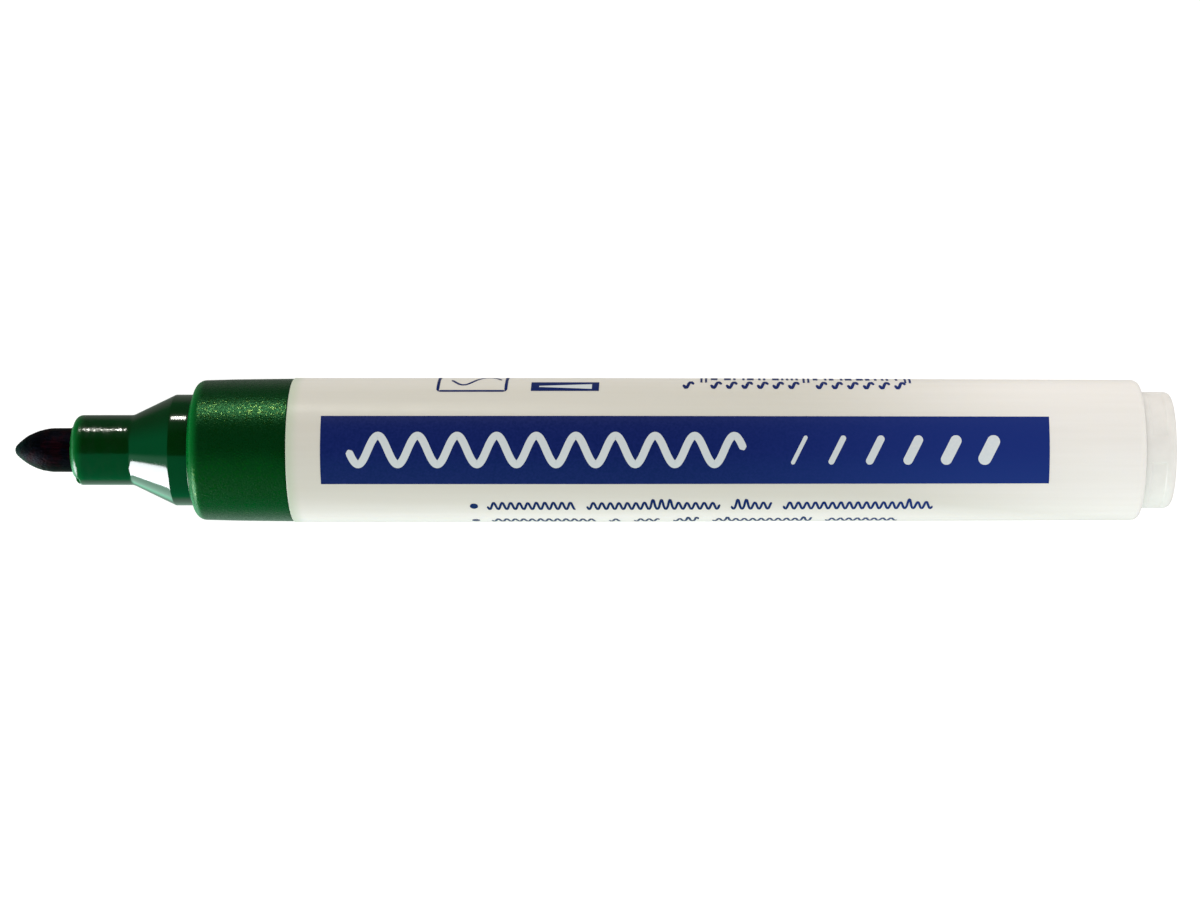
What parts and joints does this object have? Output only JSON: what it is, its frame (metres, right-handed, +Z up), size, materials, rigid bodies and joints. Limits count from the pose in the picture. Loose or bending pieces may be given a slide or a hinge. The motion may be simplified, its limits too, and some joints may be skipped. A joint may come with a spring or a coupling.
{
  "type": "whiteboard marker",
  "caption": "Uncapped bullet-tip dry-erase marker: fibre nib in a stepped front section, straight barrel and push-in end plug.",
  "frame": {"origin": "on the marker's axis, midway along its length", "axes": "+X along the axis from the nib towards the end plug, and +Z up, which is the way the printed side faces"},
  "size_m": [0.1306, 0.0164, 0.0164],
  "materials": {
    "barrel_plastic": "warm white moulded polypropylene, glossy, with a dark blue printed panel on the real one",
    "plug_plastic": "warm white moulded polypropylene",
    "green_plastic": "dark green moulded polypropylene, polished nose and spark-eroded sleeve",
    "inked_fibre": "pressed acrylic fibre soaked in ink, nearly black",
    "reservoir_fibre": "bundled polyester fibre full of green ink",
    "clear_film": "thin polypropylene wrap"
  },
  "bodies": {
    "barrel": {"barrel": "barrel_plastic", "front_section": "green_plastic", "reservoir_core": "reservoir_fibre", "reservoir_film": "clear_film"},
    "nib": {"nib": "inked_fibre"},
    "end_plug": {"end_plug": "plug_plastic"}
  },
  "joints": [
    {"name": "nib_pull", "type": "slide", "parent": "barrel", "child": "nib", "axis": [-1, 0, 0], "range_m": [0, 0.033]},
    {"name": "plug_pull", "type": "slide", "parent": "barrel", "child": "end_plug", "axis": [1, 0, 0], "range_m": [0, 0.014]}
  ]
}
